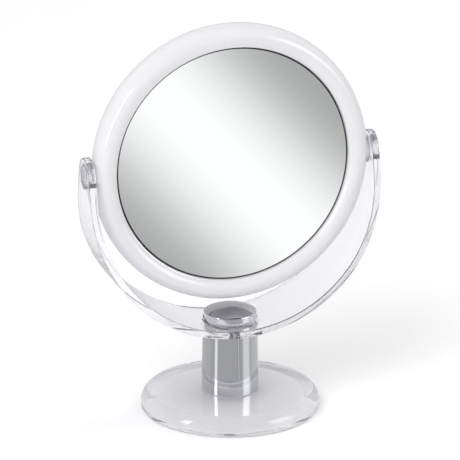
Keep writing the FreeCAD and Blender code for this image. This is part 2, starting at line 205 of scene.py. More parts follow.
def lathe(profile, axis, centre, turns=256):
    """A closed outline turned about an axis.

    The outline is rows of (distance from the axis, place along it), walked with its solid side on the left.
    A point at angle t is centre + distance * (cos t * side + sin t * up) + place * axis.
    """
    profile = np.asarray(profile, float)
    angle = np.arange(turns) * 2 * np.pi / turns
    frames = {
        "X": ((0, 1, 0), (0, 0, 1), (1, 0, 0)),
        "Y": ((0, 0, 1), (1, 0, 0), (0, 1, 0)),
        "Z": ((1, 0, 0), (0, 1, 0), (0, 0, 1)),
    }
    side, up, along = (np.array(v, float) for v in frames[axis])
    radial = np.cos(angle)[:, None] * side + np.sin(angle)[:, None] * up
    points = profile[None, :, 0, None] * radial[:, None, :] + profile[None, :, 1, None] * along
    points = points.reshape(-1, 3) + np.array(centre, float)
    return points, grid_faces(turns, len(profile), closed_rows=True, closed_columns=True)


def closed_lathe(outline, axis, centre, turns):
    """A solid of revolution that reaches its axis.

    Its outline runs from one pole on the axis to the other. The points between are turned as lathe() turns
    them, and each pole is one point with a fan of triangles.
    """
    outline = np.asarray(outline, float)
    poles = outline[[0, -1]]
    ring = outline[1:-1]
    points, _ = lathe(ring, axis, centre, turns)
    columns = len(ring)
    faces = grid_faces(turns, columns, closed_rows=True)
    pole_points, _ = lathe(poles, axis, centre, 1)
    first, last = turns * columns, turns * columns + 1
    row = np.arange(turns)
    after = (row + 1) % turns
    fan = np.stack([np.full(turns, first), after * columns, row * columns], 1)
    end = columns - 1
    other = np.stack([np.full(turns, last), row * columns + end, after * columns + end], 1)
    return np.concatenate([points, pole_points]), faces + fan.tolist() + other.tolist()


def rounded(corners, radius, steps=6):
    """A closed outline whose corners are replaced by arcs of the given radii, tangent to both sides.

    For a corner with turn a between its sides, the arc starts radius * tan(a / 2) before the corner, and its
    points are centre + radius * (cos t, sin t), with t running evenly from one tangent point to the other.
    """
    corners = np.asarray(corners, float)
    radii = np.broadcast_to(radius, len(corners))
    outline = []
    for index, corner in enumerate(corners):
        back = corners[index - 1] - corner
        ahead = corners[(index + 1) % len(corners)] - corner
        back /= np.linalg.norm(back)
        ahead /= np.linalg.norm(ahead)
        half = math.acos(float(np.clip(back @ ahead, -1, 1))) / 2
        if radii[index] <= 0 or half > 0.499 * math.pi:
            outline.append(corner[None])
            continue
        middle = (back + ahead) / np.linalg.norm(back + ahead)
        centre = corner + middle * radii[index] / math.sin(half)
        first = corner + back * radii[index] / math.tan(half) - centre
        last = corner + ahead * radii[index] / math.tan(half) - centre
        share = np.linspace(0, 1, steps + 1)[:, None]
        arc = first * (1 - share) + last * share
        outline.append(centre + radii[index] * arc / np.linalg.norm(arc, axis=1, keepdims=True))
    return np.concatenate(outline)


def fill_in(outline, longest):
    """The same closed outline with points added on runs longer than a given length, evenly spaced."""
    ahead = np.roll(outline, -1, axis=0)
    pieces = []
    for start, end in zip(outline, ahead):
        count = max(1, int(np.ceil(np.linalg.norm(end - start) / longest)))
        pieces.append(start + (end - start) * np.arange(count)[:, None] / count)
    return np.concatenate(pieces)


# --- materials -----------------------------------------------------------------------------------
def colour(code):
    """An sRGB hex colour as linear red, green, blue and alpha."""
    values = np.array([int(code[i : i + 2], 16) / 255 for i in (1, 3, 5)])
    linear = np.where(values <= 0.04045, values / 12.92, ((values + 0.055) / 1.055) ** 2.4)
    return (*linear.tolist(), 1.0)


def add_node(tree, kind, settings=None, links=None):
    """Adds a node. settings gives inputs and properties their values, and links gives inputs their sources.

    A source is an output socket, or a node whose first output is meant.
    """
    node = tree.nodes.new(kind)
    for name, value in (settings or {}).items():
        if isinstance(name, int) or name in node.inputs:
            node.inputs[name].default_value = value
        else:
            setattr(node, name, value)
    for name, source in (links or {}).items():
        output = source if isinstance(source, bpy.types.NodeSocket) else source.outputs[0]
        tree.links.new(output, node.inputs[name])
    return node


def new_material(
    name, settings, grain_mm=None, gloss=None, depth_mm=0, relief=None, tones=None, cells=False
):
    """A material with one Principled shader, its constant values set on the shader's own sockets.

    Its grain is noise, or round cells, over Object coordinates, with features about grain_mm across.
    Roughness follows the grain over the gloss range, from where noise mostly lies, 0.3 to 0.7. The surface
    is depth_mm deep, after the grain or after relief, which is noise of its own size in millimetres and
    detail. Two tones are mixed by the grain.
    """
    material = bpy.data.materials.new(name)
    material.use_nodes = True
    tree = material.node_tree
    tree.nodes.clear()
    shader = add_node(tree, "ShaderNodeBsdfPrincipled", settings)
    add_node(tree, "ShaderNodeOutputMaterial", links={"Surface": shader})
    if grain_mm is None:
        return material
    place = {"Vector": add_node(tree, "ShaderNodeTexCoord").outputs["Object"]}
    if cells:
        grain = add_node(tree, "ShaderNodeTexVoronoi", {"Scale": 1 / (grain_mm * MM)}, place)
    else:
        grain = add_node(tree, "ShaderNodeTexNoise", {"Scale": 1 / (grain_mm * MM), "Detail": 3.0}, place)
    if gloss:
        span = {"From Min": 0.3, "From Max": 0.7, "To Min": gloss[0], "To Max": gloss[1]}
        rough = add_node(tree, "ShaderNodeMapRange", span, {"Value": grain})
        tree.links.new(rough.outputs["Result"], shader.inputs["Roughness"])
    if depth_mm:
        height = grain
        if relief:
            waves = {"Scale": 1 / (relief[0] * MM), "Detail": relief[1]}
            height = add_node(tree, "ShaderNodeTexNoise", waves, place)
        depth = {"Strength": 1.0, "Distance": depth_mm * MM}
        bump = add_node(tree, "ShaderNodeBump", depth, {"Height": height})
        tree.links.new(bump.outputs["Normal"], shader.inputs["Normal"])
    if tones:
        ends = {"data_type": "RGBA", "A": colour(tones[0]), "B": colour(tones[1])}
        mix = add_node(tree, "ShaderNodeMix", ends, {"Factor": grain})
        tree.links.new(mix.outputs["Result"], shader.inputs["Base Color"])
    return material


def moulded_acrylic(name, code, clearness):
    """Moulded acrylic, polished: a cool lilac cast, faint flow waves and handling haze.

    clearness is the share of light that passes straight through, and the rest is scattered.
    """
    return new_material(
        name,
        {"Base Color": colour(code), "Transmission Weight": clearness, "IOR": 1.49},
        grain_mm=14, gloss=(0.0, 0.035), depth_mm=0.02, relief=(30, 1.0),
    )


def frosted_underside():
    """The base's underside, ground matt: it scatters light, so the table shows through as even pale grey."""
    return new_material(
        "frosted_acrylic",
        {"Base Color": colour("#F8F8F9"), "Transmission Weight": 0.2, "IOR": 1.49},
        grain_mm=0.6, gloss=(0.55, 0.75), depth_mm=0.01,
    )


def bright_chrome():
    """Decorative chrome over polished nickel: dark silver, mirror bright, with faint buffing haze."""
    return new_material(
        "bright_chrome",
        {"Base Color": colour("#C4C5C9"), "Metallic": 1.0},
        grain_mm=6, gloss=(0.03, 0.07), depth_mm=0.004, relief=(9, 1.0),
    )


def silvered_glass():
    """Silvered float glass: a clean mirror face with a trace of wiping haze."""
    return new_material(
        "silvered_glass", {"Base Color": colour("#F3F5F5"), "Metallic": 1.0}, grain_mm=22, gloss=(0.0, 0.012)
    )


def painted_glass_edge():
    """The glass's ground edge under black backing paint: dark, with a faint grain from grinding. Round the
    rim of the mirror face the same dark is painted shade of the gap between glass and ring.
    """
    return new_material(
        "painted_glass_edge", {"IOR": 1.5},
        grain_mm=0.8, gloss=(0.3, 0.5), depth_mm=0.03, tones=("#101013", "#1E1E23"),
    )


def silicone():
    """Translucent moulded silicone: satin, slightly cloudy, with soft unevenness from the mould."""
    return new_material(
        "moulded_silicone",
        {"Base Color": colour("#F1F1F4"), "Transmission Weight": 0.25, "IOR": 1.41},
        grain_mm=2.5, gloss=(0.25, 0.42), depth_mm=0.02, relief=(0.6, 3.0),
    )


def zinc_plate():
    """Bright zinc on a rolled steel bolt: bluish silver with soft grey spangle."""
    return new_material(
        "bright_zinc_plate", {"Metallic": 1.0},
        grain_mm=1.6, gloss=(0.22, 0.38), depth_mm=0.01, tones=("#AEB4BA", "#CDD1D4"),
    )


def light_grey_abs():
    """Light grey ABS moulding: satin, with a fine spark texture."""
    return new_material(
        "light_grey_abs", {"Base Color": colour("#D4D4D8"), "IOR": 1.53},
        grain_mm=0.5, gloss=(0.38, 0.55), depth_mm=0.02,
    )


def backing_paint():
    """Rolled grey backing paint: matt, with slight orange peel."""
    return new_material(
        "backing_paint", {"Base Color": colour("#9FA2A6")}, grain_mm=1.2, gloss=(0.5, 0.68), depth_mm=0.02
    )


def closed_cell_foam(name, dark, light):
    """Closed-cell foam: matt, made of small cells about half a millimetre across."""
    return new_material(
        name, {"Roughness": 0.9}, grain_mm=0.5, depth_mm=0.08, tones=(dark, light), cells=True
    )


FINISHES = {}


def finish(name):
    """The named material, made the first time that it is asked for."""
    makers = {
        "acrylic": lambda: moulded_acrylic("polished_clear_acrylic", "#FBFAFD", 0.94),
        "milky": lambda: moulded_acrylic("polished_milky_acrylic", "#ECEBEE", 0.25),
        "frosted": frosted_underside,
        "chrome": bright_chrome,
        "mirror": silvered_glass,
        "edge": painted_glass_edge,
        "silicone": silicone,
        "zinc": zinc_plate,
        "abs": light_grey_abs,
        "paint": backing_paint,
        "tape": lambda: closed_cell_foam("bonding_tape", "#DCDCDF", "#EFEFF1"),
        "foam": lambda: closed_cell_foam("grey_foam", "#B4B5B9", "#CDCED2"),
    }
    if name not in FINISHES:
        FINISHES[name] = makers[name]()
    return FINISHES[name]


# --- settings --------------------------------------------------------------------------------------
class MirrorStudioSettings(bpy.types.PropertyGroup):
    camera_distance: FloatProperty(
        name="Camera distance", description="From the camera to its target", default=2.502, unit="LENGTH"
    )
    camera_azimuth: FloatProperty(
        name="Camera azimuth",
        description="Turn of the camera about the vertical, from the front",
        default=math.radians(-18.105),
        subtype="ANGLE",
    )
    camera_elevation: FloatProperty(
        name="Camera elevation",
        description="Height of the camera above the horizon",
        default=math.radians(19.256),
        subtype="ANGLE",
    )
    target: FloatVectorProperty(
        name="Camera target",
        description="Point in the middle of the picture",
        default=(-0.00008, 0.0, 0.11487),
        subtype="XYZ",
    )
    lens: FloatProperty(name="Lens", description="Focal length", default=320.7, unit="CAMERA")
    floor_colour: FloatVectorProperty(
        name="Floor", description="Pale floor", default=colour("#F7F7F8")[:3], subtype="COLOR"
    )
    room_grey: FloatProperty(
        name="Room grey",
        description="Brightness of the room that metal reflects",
        default=0.60,
        subtype="FACTOR",
    )


class MirrorMeshSettings(bpy.types.PropertyGroup):
    turns: IntProperty(name="Turns", description="Steps around each turned piece", default=256)
    ring_turns: IntProperty(name="Ring turns", description="Steps around the mirror's ring", default=640)


# --- base and column -------------------------------------------------------------------------------
class MIRROR_OT_base(bpy.types.Operator):
    """Clear round base with its rounded rim, bolt bore and frosted underside, and the four soft feet"""

    bl_idname = "mirror.base"
    bl_label = "Base"

    def execute(self, context):
        turns = context.scene.mirror_mesh.turns
        corners = [
            (COUNTERBORE_RADIUS, BASE_LOW_Z),
            (FROSTED_RADIUS, BASE_LOW_Z),
            (BASE_RADIUS, BASE_LOW_Z),
            (BASE_RADIUS, BASE_TOP_Z),
            (BOLT_HOLE_RADIUS, BASE_TOP_Z),
            (BOLT_HOLE_RADIUS, COUNTERBORE_TOP_Z),
            (COUNTERBORE_RADIUS, COUNTERBORE_TOP_Z),
        ]
        radii = [TURNED_EDGE, 0, BASE_LOW_ROUND, BASE_TOP_ROUND, TURNED_EDGE, TURNED_EDGE, TURNED_EDGE]
        outline = fill_in(rounded(corners, radii, 12), BASE_RUN)
        points, faces = lathe(outline, "Z", (0, 0, 0), turns)
        corner_points = points[np.array(faces)]
        reach = np.hypot(corner_points[:, :, X], corner_points[:, :, Y]).max(1)
        under = (corner_points[:, :, Z].max(1) < BASE_LOW_Z + SAME_PLACE) & (reach < FROSTED_RADIUS)
        body = add_piece(
            "base_body", points, faces, finish("acrylic"), "stand", ["base_disc"],
            finish("frosted"), under,
        )
        body.modifiers.new("even_normals", "WEIGHTED_NORMAL")
        foot_top = BASE_LOW_Z - AIR_GAP
        foot = [(0, 0), (FOOT_RADIUS, 0), (FOOT_RADIUS, foot_top), (0, foot_top)]
        foot = rounded(foot, [0, FOOT_LOW_ROUND, FOOT_TOP_ROUND, 0])
        for index, (x, y) in enumerate(foot_places()):
            points, faces = closed_lathe(foot, "Z", (x, y, 0), FOOT_TURNS)
            name = f"foot_{index + 1}"
            add_piece(name, points, faces, finish("silicone"), "stand", ["base_feet"])
        return {"FINISHED"}


def foot_places():
    """Centres of the feet, evenly round a circle, starting half a right angle from X."""
    angle = np.pi / 4 + np.arange(4) * np.pi / 2
    return (FOOT_CIRCLE * np.stack([np.cos(angle), np.sin(angle)], 1)).tolist()


class MIRROR_OT_column(bpy.types.Operator):
    """Tapered plated sleeve, hollow with a top plate, and the soft rings above and below it"""

    bl_idname = "mirror.column"
    bl_label = "Column"

    def execute(self, context):
        turns = context.scene.mirror_mesh.turns
        corners = [
            (COLUMN_FOOT_RADIUS - COLUMN_WALL, COLUMN_FOOT_Z),
            (COLUMN_FOOT_RADIUS, COLUMN_FOOT_Z),
            (COLUMN_TOP_RADIUS, COLUMN_TOP_Z),
            (BOLT_HOLE_RADIUS, COLUMN_TOP_Z),
            (BOLT_HOLE_RADIUS, COLUMN_TOP_Z - COLUMN_WALL),
            (COLUMN_TOP_RADIUS - COLUMN_WALL, COLUMN_TOP_Z - COLUMN_WALL),
        ]
        radii = [TURNED_EDGE, TURNED_EDGE, 2 * TURNED_EDGE, TURNED_EDGE, TURNED_EDGE, TURNED_EDGE]
        outline = fill_in(rounded(corners, radii), COLUMN_RUN)
        points, faces = lathe(outline, "Z", (0, 0, 0), turns)
        chrome = finish("chrome")
        add_piece("column_cover", points, faces, chrome, "stand", ["column_sleeve"])
        for name in ("column_gasket", "yoke_gasket_lower", "yoke_gasket_upper"):
            turned_ring(name + "_ring", name, turns)
        return {"FINISHED"}


def turned_ring(name, node, turns):
    """A flat soft ring about Z with slightly rounded corners, as large as its CAD node."""
    inner, outer = GASKET_BORE_RADIUS, across(node, Y)
    bottom, top = low(node, Z) + AIR_GAP, high(node, Z) - AIR_GAP
    corners = [(inner, bottom), (outer, bottom), (outer, top), (inner, top)]
    points, faces = lathe(rounded(corners, GASKET_ROUND), "Z", (0, 0, 0), turns)
    add_piece(name, points, faces, finish("silicone"), "stand", [node])


class MIRROR_OT_cap(bpy.types.Operator):
    """Shallow domed plated cap with a short skirt"""

    bl_idname = "mirror.cap"
    bl_label = "Cap"

    def execute(self, context):
        outside = dome(CAP_RADIUS, CAP_TOP_Z, CAP_EDGE_ROUND)
        inside = dome(CAP_RADIUS - CAP_WALL, CAP_TOP_Z - CAP_WALL, CAP_EDGE_ROUND / 2)
        outline = np.concatenate([inside[::-1], outside])
        points, faces = closed_lathe(outline, "Z", (0, 0, 0), context.scene.mirror_mesh.turns)
        add_piece("cap_dome", points, faces, finish("chrome"), "stand", ["cap_shell"])
        return {"FINISHED"}


def dome(radius, top, edge_round):
    """Half outline of a skirt closed by a shallow sphere, from the skirt's foot to the top's pole.

    The sphere's radius is (radius^2 + drop^2) / (2 drop), so that it falls by drop at the skirt. An arc of
    the edge radius, from upright to the sphere's slope there, rounds the corner between the two.
    """
    drop = CAP_EDGE_DROP
    sphere = (radius**2 + drop**2) / (2 * drop)
    slope = math.asin(radius / sphere)
    centre = np.array([radius - edge_round, top - drop - edge_round * math.tan((math.pi / 2 - slope) / 2)])
    turn = np.linspace(0, math.pi / 2 - slope, 9)[:, None]
    corner = centre + edge_round * np.concatenate([np.cos(turn), np.sin(turn)], 1)
    start = math.asin(corner[-1, 0] / sphere)
    angle = np.linspace(start, 0, 25)[1:, None]
    crown = np.concatenate([sphere * np.sin(angle), top - sphere * (1 - np.cos(angle))], 1)
    crown[-1, 0] = 0.0
    foot = np.array([[radius, CAP_LOW_Z], [radius, (CAP_LOW_Z + centre[1]) / 2]])
    return np.concatenate([foot, corner, crown])


# --- yoke --------------------------------------------------------------------------------------------
def half_width(height):
    """Half of the yoke's width at a height: centre + root(radius^2 - rise^2) of the flank's circle."""
    return FLANK_CENTRE_Y + np.sqrt(FLANK_RADIUS**2 - (height - YOKE_BOTTOM_Z) ** 2)


def band_place(distance, offset):
    """X and Z of the yoke's path at a distance from its lowest point, moved outwards by an offset.

    On the half circle the angle from straight down is distance / middle radius. Beyond it the arm is
    upright.
    """
    bent = np.clip(distance, -QUARTER_TURN, QUARTER_TURN)
    angle = bent / YOKE_MID_RADIUS
    reach = YOKE_MID_RADIUS + offset
    x = reach * np.sin(angle)
    z = ARC_CENTRE_Z - reach * np.cos(angle) + np.abs(distance - bent)
    return x, z


def ear_outline(angle, cut_height):
    """Distance from the pivot to the ear's outline at each angle from straight up.

    It is the ear's circle above the tangent points, the flank's arc below them, and the straight line at
    cut_height at the bottom, each found where the ray from the pivot meets it.
    """
    ray_y, ray_z = np.abs(np.sin(angle)), np.cos(angle)
    toward = ray_y * FLANK_CENTRE_Y - ray_z * YOKE_RISE
    flank_reach = toward + np.sqrt(toward**2 - (FLANK_CENTRE_Y**2 + YOKE_RISE**2 - FLANK_RADIUS**2))
    tangent = math.atan2(YOKE_RISE, -FLANK_CENTRE_Y)
    reach = np.where(np.arctan2(ray_z, ray_y) >= tangent, EAR_RADIUS, flank_reach)
    down = np.where(ray_z < -1e-6, (cut_height - PIVOT_Z) / np.minimum(ray_z, -1e-6), 1.0)
    return np.minimum(reach, down)


def ring_patch(inner, outer, steps):
    """Points between two matching closed rows of points, evenly spaced across, and their faces."""
    share = np.linspace(0, 1, steps + 1)[:, None, None]
    points = inner[None] * (1 - share) + outer[None] * share
    return points.reshape(-1, 2), grid_faces(steps + 1, len(inner), closed_columns=True)


def weld(patches):
    """Joins flat patches, merges points in one place, and turns each face anticlockwise."""
    merge_within = 0.001 * MM
    points, faces, start = [], [], 0
    for patch_points, patch_faces in patches:
        points.append(patch_points)
        faces.append(np.array(patch_faces) + start)
        start += len(patch_points)
    points, faces = np.concatenate(points), np.concatenate(faces)
    places = np.round(points / merge_within).astype(np.int64)
    _, first, index = np.unique(places, axis=0, return_index=True, return_inverse=True)
    points, faces = points[first], index.ravel()[faces]
    diagonal = points[faces[:, 2]] - points[faces[:, 0]]
    other = points[faces[:, 3]] - points[faces[:, 1]]
    turned_over = diagonal[:, 0] * other[:, 1] - diagonal[:, 1] * other[:, 0] < 0
    faces[turned_over] = faces[turned_over][:, ::-1]
    return points, faces


def yoke_pattern():
    """The yoke unrolled flat: (distance along the path, y) points and four-sided faces.

    Patches: a band on each side of the seat, a square with a round hole at the seat, and a ring round each
    ear's hole that reaches the ear's outline.
    """
    rows = np.linspace(-1, 1, BAND_ROWS)
    patches = []
    for side in (-1, 1):
        along = np.linspace(SEAT_HALF, PATH_LENGTH - EAR_CUT, BAND_STEPS + 1) * side
        _, heights = band_place(along, 0)
        wide = half_width(heights)
        grid = np.stack([np.repeat(along, len(rows)), (wide[:, None] * rows).ravel()], 1)
        patches.append((grid, grid_faces(len(along), len(rows))))
        patches.append(ear_patch(side, rows))
    patches.append(seat_square(rows))
    return weld(patches)


def ear_patch(side, rows):
    """The ring of faces from an ear's hole to its outline, sharing the band's row of points at the cut."""
    cut_height = PIVOT_Z - EAR_CUT
    cut_wide = float(half_width(np.array([cut_height]))[0])
    straight_y = cut_wide * rows
    straight = np.arctan2(straight_y, cut_height - PIVOT_Z)
    corner = math.atan2(cut_wide, cut_height - PIVOT_Z)
    over = np.linspace(corner, -corner, EAR_STEPS + 1)[1:-1]
    angle = np.concatenate([straight, over])
    reach = np.concatenate([np.hypot(straight_y, cut_height - PIVOT_Z), ear_outline(over, cut_height)])
    hole = JOURNAL_RADIUS + EAR_CLEARANCE
    order = np.stack([np.cos(angle), np.sin(angle)], 1)
    inner, outer = order * hole, order * reach[:, None]
    points, faces = ring_patch(inner, outer, steps=1)
    distance = (PATH_LENGTH + points[:, 0]) * side
    return np.stack([distance, points[:, 1]], 1), faces


def seat_square(rows):
    """Faces between the seat's circle and the band's edges round it."""
    _, side_height = band_place(np.array([SEAT_HALF]), 0)
    side_wide = float(half_width(side_height)[0])
    right = np.stack([np.full(len(rows), SEAT_HALF), side_wide * rows], 1)
    along = np.linspace(SEAT_HALF, -SEAT_HALF, SEAT_STEPS + 1)[1:-1]
    _, heights = band_place(along, 0)
    top = np.stack([along, half_width(heights)], 1)
    left = np.stack([np.full(len(rows), -SEAT_HALF), side_wide * rows[::-1]], 1)
    bottom = np.stack([along[::-1], -half_width(heights[::-1])], 1)
    outer = np.concatenate([right, top, left, bottom])
    inner = outer / np.linalg.norm(outer, axis=1, keepdims=True) * SEAT_RADIUS
    return ring_patch(inner, outer, steps=4)


def open_edges(faces):
    """Directed edges that only one face uses."""
    edges = np.concatenate([np.stack([faces[:, i], faces[:, (i + 1) % 4]], 1) for i in range(4)])
    keys = np.sort(edges, axis=1)
    _, index, count = np.unique(keys, axis=0, return_inverse=True, return_counts=True)
    return edges[count[index.ravel()] == 1]


class MIRROR_OT_yoke(bpy.types.Operator):
    """Clear U-shaped band, wide at the bottom and rounded at the ears, with the seat for column and cap"""

    bl_idname = "mirror.yoke"
    bl_label = "Yoke"

    def execute(self, context):
        pattern, faces = yoke_pattern()
        count = len(pattern)
        edges = open_edges(faces)
        seat_edge = np.abs(np.linalg.norm(pattern[edges], axis=2) - SEAT_RADIUS).max(1) < SAME_PLACE
        walls = edges[~seat_edge]
        outward = outward_normals(pattern, walls)
        inset = pattern - outward * YOKE_EDGE_ROUND
        layers = [band_points(inset, offset) for offset in (YOKE_THICKNESS / 2, -YOKE_THICKNESS / 2)]
        outer_faces, inner_faces = faces[:, ::-1], faces + count
        points, seat_faces = seat_faces_and_points(pattern, layers, edges[seat_edge])
        wall_points, wall_faces = rounded_walls(inset, outward, walls, count, len(points))
        points = np.concatenate([points, wall_points])
        every = [*outer_faces.tolist(), *inner_faces.tolist(), *wall_faces.tolist(), *seat_faces]
        piece = add_piece("yoke_band", points, every, finish("acrylic"), "stand", ["yoke"])
        piece.modifiers.new("even_normals", "WEIGHTED_NORMAL")
        return {"FINISHED"}


def band_points(flat, offset):
    """Points of the unrolled yoke bent round its path, at an offset outwards from the middle line."""
    x, z = band_place(flat[..., 0], offset)
    return np.stack([x, flat[..., 1], z], -1)


def outward_normals(pattern, walls):
    """Unit vector pointing out of the flat outline at each of its points, and zero at every other point."""
    run = pattern[walls[:, 1]] - pattern[walls[:, 0]]
    across_run = np.stack([run[:, 1], -run[:, 0]], 1) / np.linalg.norm(run, axis=1, keepdims=True)
    normals = np.zeros_like(pattern)
    np.add.at(normals, walls[:, 0], across_run)
    np.add.at(normals, walls[:, 1], across_run)
    return normals / np.maximum(np.linalg.norm(normals, axis=1, keepdims=True), 1e-9)


def rounded_walls(inset, outward, walls, count, start):
    """The yoke's edges: a quarter round from the inner face, a flat, and a quarter round to the outer face.

    At angle t the wall stands edge round * cos t outside the inset outline, and edge round * sin t beyond
    the flat. The first and last rows are the faces' own points.
    """
    rows = 9
    turn = np.concatenate([np.linspace(-np.pi / 2, 0, rows), np.linspace(0, np.pi / 2, rows)])
    flat = (YOKE_THICKNESS / 2 - YOKE_EDGE_ROUND) * np.repeat([-1, 1], rows)
    reach = (YOKE_EDGE_ROUND * np.cos(turn))[1:-1, None, None]
    offset = (flat + YOKE_EDGE_ROUND * np.sin(turn))[1:-1, None]
    rim = np.unique(walls)
    points = band_points(inset[rim] + reach * outward[rim], offset)
    index = np.zeros((len(turn), count), int)
    index[0, rim], index[-1, rim] = rim + count, rim
    index[1:-1, rim] = start + np.arange(len(reach) * len(rim)).reshape(len(reach), len(rim))
    near, far = index[:, walls[:, 0]], index[:, walls[:, 1]]
    faces = np.stack([far[:-1], near[:-1], near[1:], far[1:]], -1)
    return points.reshape(-1, 3), faces.reshape(-1, 4)


def seat_faces_and_points(pattern, layers, seat_edges):
    """Adds the flat seat: its faces lie at the yoke's lowest height below and at the pocket's floor above.

    At the seat's circle an upright wall joins the band's own surface to the flat one, and the bolt's bore
    joins the two flat faces in the middle.
    """
    order = seat_edges[:, 0]
    circle = pattern[order]
    angle = np.arctan2(circle[:, 1], circle[:, 0])
    order = order[np.argsort(angle)]
    angle = np.sort(angle)
    steps, size, count = 5, len(order), len(pattern)
    radius = np.linspace(SEAT_RADIUS, BOLT_HOLE_RADIUS, steps)
    flat = (radius[:, None, None] * np.stack([np.cos(angle), np.sin(angle)], 1)[None]).reshape(-1, 2)
    below = np.column_stack([flat, np.full(len(flat), YOKE_BOTTOM_Z)])
    above = np.column_stack([flat, np.full(len(flat), SEAT_Z)])
    points = np.concatenate([*layers, below, above])
    first_below, first_above = 2 * count, 2 * count + len(flat)
    disc = np.array(grid_faces(steps, size, closed_columns=True))
    here, after = np.arange(size), (np.arange(size) + 1) % size
    bottom_wall = np.stack([order[after], order[here], first_below + here, first_below + after], 1)
    top_rim = order + count
    top_wall = np.stack([top_rim[here], top_rim[after], first_above + after, first_above + here], 1)
    low_bore, high_bore = first_below + (steps - 1) * size, first_above + (steps - 1) * size
    bore = np.stack([low_bore + after, low_bore + here, high_bore + here, high_bore + after], 1)
    faces = [
        *(disc + first_below).tolist(),
        *(disc[:, ::-1] + first_above).tolist(),
        *bottom_wall.tolist(),
        *top_wall.tolist(),
        *bore.tolist(),
    ]
    return points, faces


# --- mirror head ---------------------------------------------------------------------------------------
def ring_outline():
    """The ring's section as (radius, depth) points, anticlockwise.

    Outside it is half an ellipse from crest to crest, inside each crest a quarter ellipse falls to the
    bore's lip, and a square ledge stands in the bore.
    """
    outward = RING_RADIUS - RING_CREST_RADIUS
    inward = RING_CREST_RADIUS - RING_BORE_RADIUS
    fall = RING_HALF_DEPTH - RING_LIP_Y
    turn = np.linspace(-math.pi / 2, math.pi / 2, CREST_STEPS + 1)
    outside = np.stack([RING_CREST_RADIUS + outward * np.cos(turn), RING_HALF_DEPTH * np.sin(turn)], 1)
    turn = np.linspace(math.pi / 2, math.pi, LIP_STEPS + 1)[1:]
    rear = np.stack([RING_CREST_RADIUS + inward * np.cos(turn), RING_LIP_Y + fall * np.sin(turn)], 1)
    edge = LEDGE_EDGE
    ledge = [
        (RING_BORE_RADIUS, LEDGE_HALF_DEPTH + edge),
        (RING_BORE_RADIUS - edge, LEDGE_HALF_DEPTH),
        (LEDGE_RADIUS + edge, LEDGE_HALF_DEPTH),
        (LEDGE_RADIUS, LEDGE_HALF_DEPTH - edge),
        (LEDGE_RADIUS, -LEDGE_HALF_DEPTH + edge),
        (LEDGE_RADIUS + edge, -LEDGE_HALF_DEPTH),
        (RING_BORE_RADIUS - edge, -LEDGE_HALF_DEPTH),
        (RING_BORE_RADIUS, -LEDGE_HALF_DEPTH - edge),
    ]
    front = rear[::-1] * (1, -1)
    return np.concatenate([outside, rear, ledge, front])


def raise_bosses(points):
    """Lifts the ring's outer surface to a flat round boss at each pivot.

    Near the pivot's axis the surface is flat at the washer's face. From the boss's edge the flat falls by
    the boss's fall times the distance, until it meets the ring. Only the ring's outer side is lifted.
    """
    away = np.hypot(points[:, Y], points[:, Z] - PIVOT_Z)
    outer = np.abs(points[:, X]) > RING_CREST_RADIUS * 0.98
    boss = BOSS_FACE_X - BOSS_FALL * np.maximum(0, away - (BOSS_RADIUS - BOSS_EDGE))
    lifted = np.maximum(np.abs(points[:, X]), boss)
    x = np.where(outer, np.sign(points[:, X]) * lifted, points[:, X])
    return np.column_stack([x, points[:, 1:]])


class MIRROR_OT_ring(bpy.types.Operator):
    """Milky one-piece ring, rounded front and back, with a boss at each pivot"""

    bl_idname = "mirror.ring"
    bl_label = "Ring"

    def execute(self, context):
        turns = context.scene.mirror_mesh.ring_turns
        points, faces = lathe(ring_outline(), "Y", (0, 0, PIVOT_Z), turns)
        points = raise_bosses(points)
        milky = finish("milky")
        add_piece("ring_body", points, faces, milky, "mirror_head", ["mirror_ring"])
        return {"FINISHED"}


class MIRROR_OT_glasses(bpy.types.Operator):
    """The flat glass in front and the concave magnifying glass behind, each with a painted edge and a strip
    of painted shade round its mirror face
    """

    bl_idname = "mirror.glasses"
    bl_label = "Glasses"

    def execute(self, context):
        turns = context.scene.mirror_mesh.turns
        rim = GLASS_RADIUS - GLASS_ARRIS
        share = np.append(np.linspace(0, (GLASS_RADIUS - GAP_SHADE_RIM) / rim, 24), 1.0)[:, None]
        face = np.concatenate([rim * share, np.full_like(share, GLASS_FRONT_Y)], 1)
        edge = [
            (GLASS_RADIUS, GLASS_FRONT_Y + GLASS_ARRIS),
            (GLASS_RADIUS, GLASS_BACK_Y - GLASS_ARRIS),
            (rim, GLASS_BACK_Y),
            (0, GLASS_BACK_Y),
        ]
        add_glass("flat_glass", np.concatenate([face, edge]), turns, -1, "flat_mirror_glass")
        rim_y = -GLASS_FRONT_Y
        curve_y = rim_y + math.sqrt(MAGNIFYING_RADIUS**2 - GLASS_RADIUS**2)
        rear = concave_arc(MAGNIFYING_RADIUS, curve_y, rim * share)
        back = concave_arc(MAGNIFYING_RADIUS + GLASS_THICKNESS, curve_y, rim * share)
        edge = [
            (GLASS_RADIUS, float(back[-1, 1]) + GLASS_ARRIS),
            (GLASS_RADIUS, rim_y - GLASS_ARRIS),
        ]
        outline = np.concatenate([back, edge, rear[::-1]])
        add_glass("magnifying_glass", outline, turns, 1, "magnifying_mirror_glass")
        return {"FINISHED"}


def concave_arc(radius, centre_y, distance):
    """Points (distance, depth) of a sphere: depth is its centre's less root(radius^2 - distance^2)."""
    return np.concatenate([distance, centre_y - np.sqrt(radius**2 - distance**2)], 1)


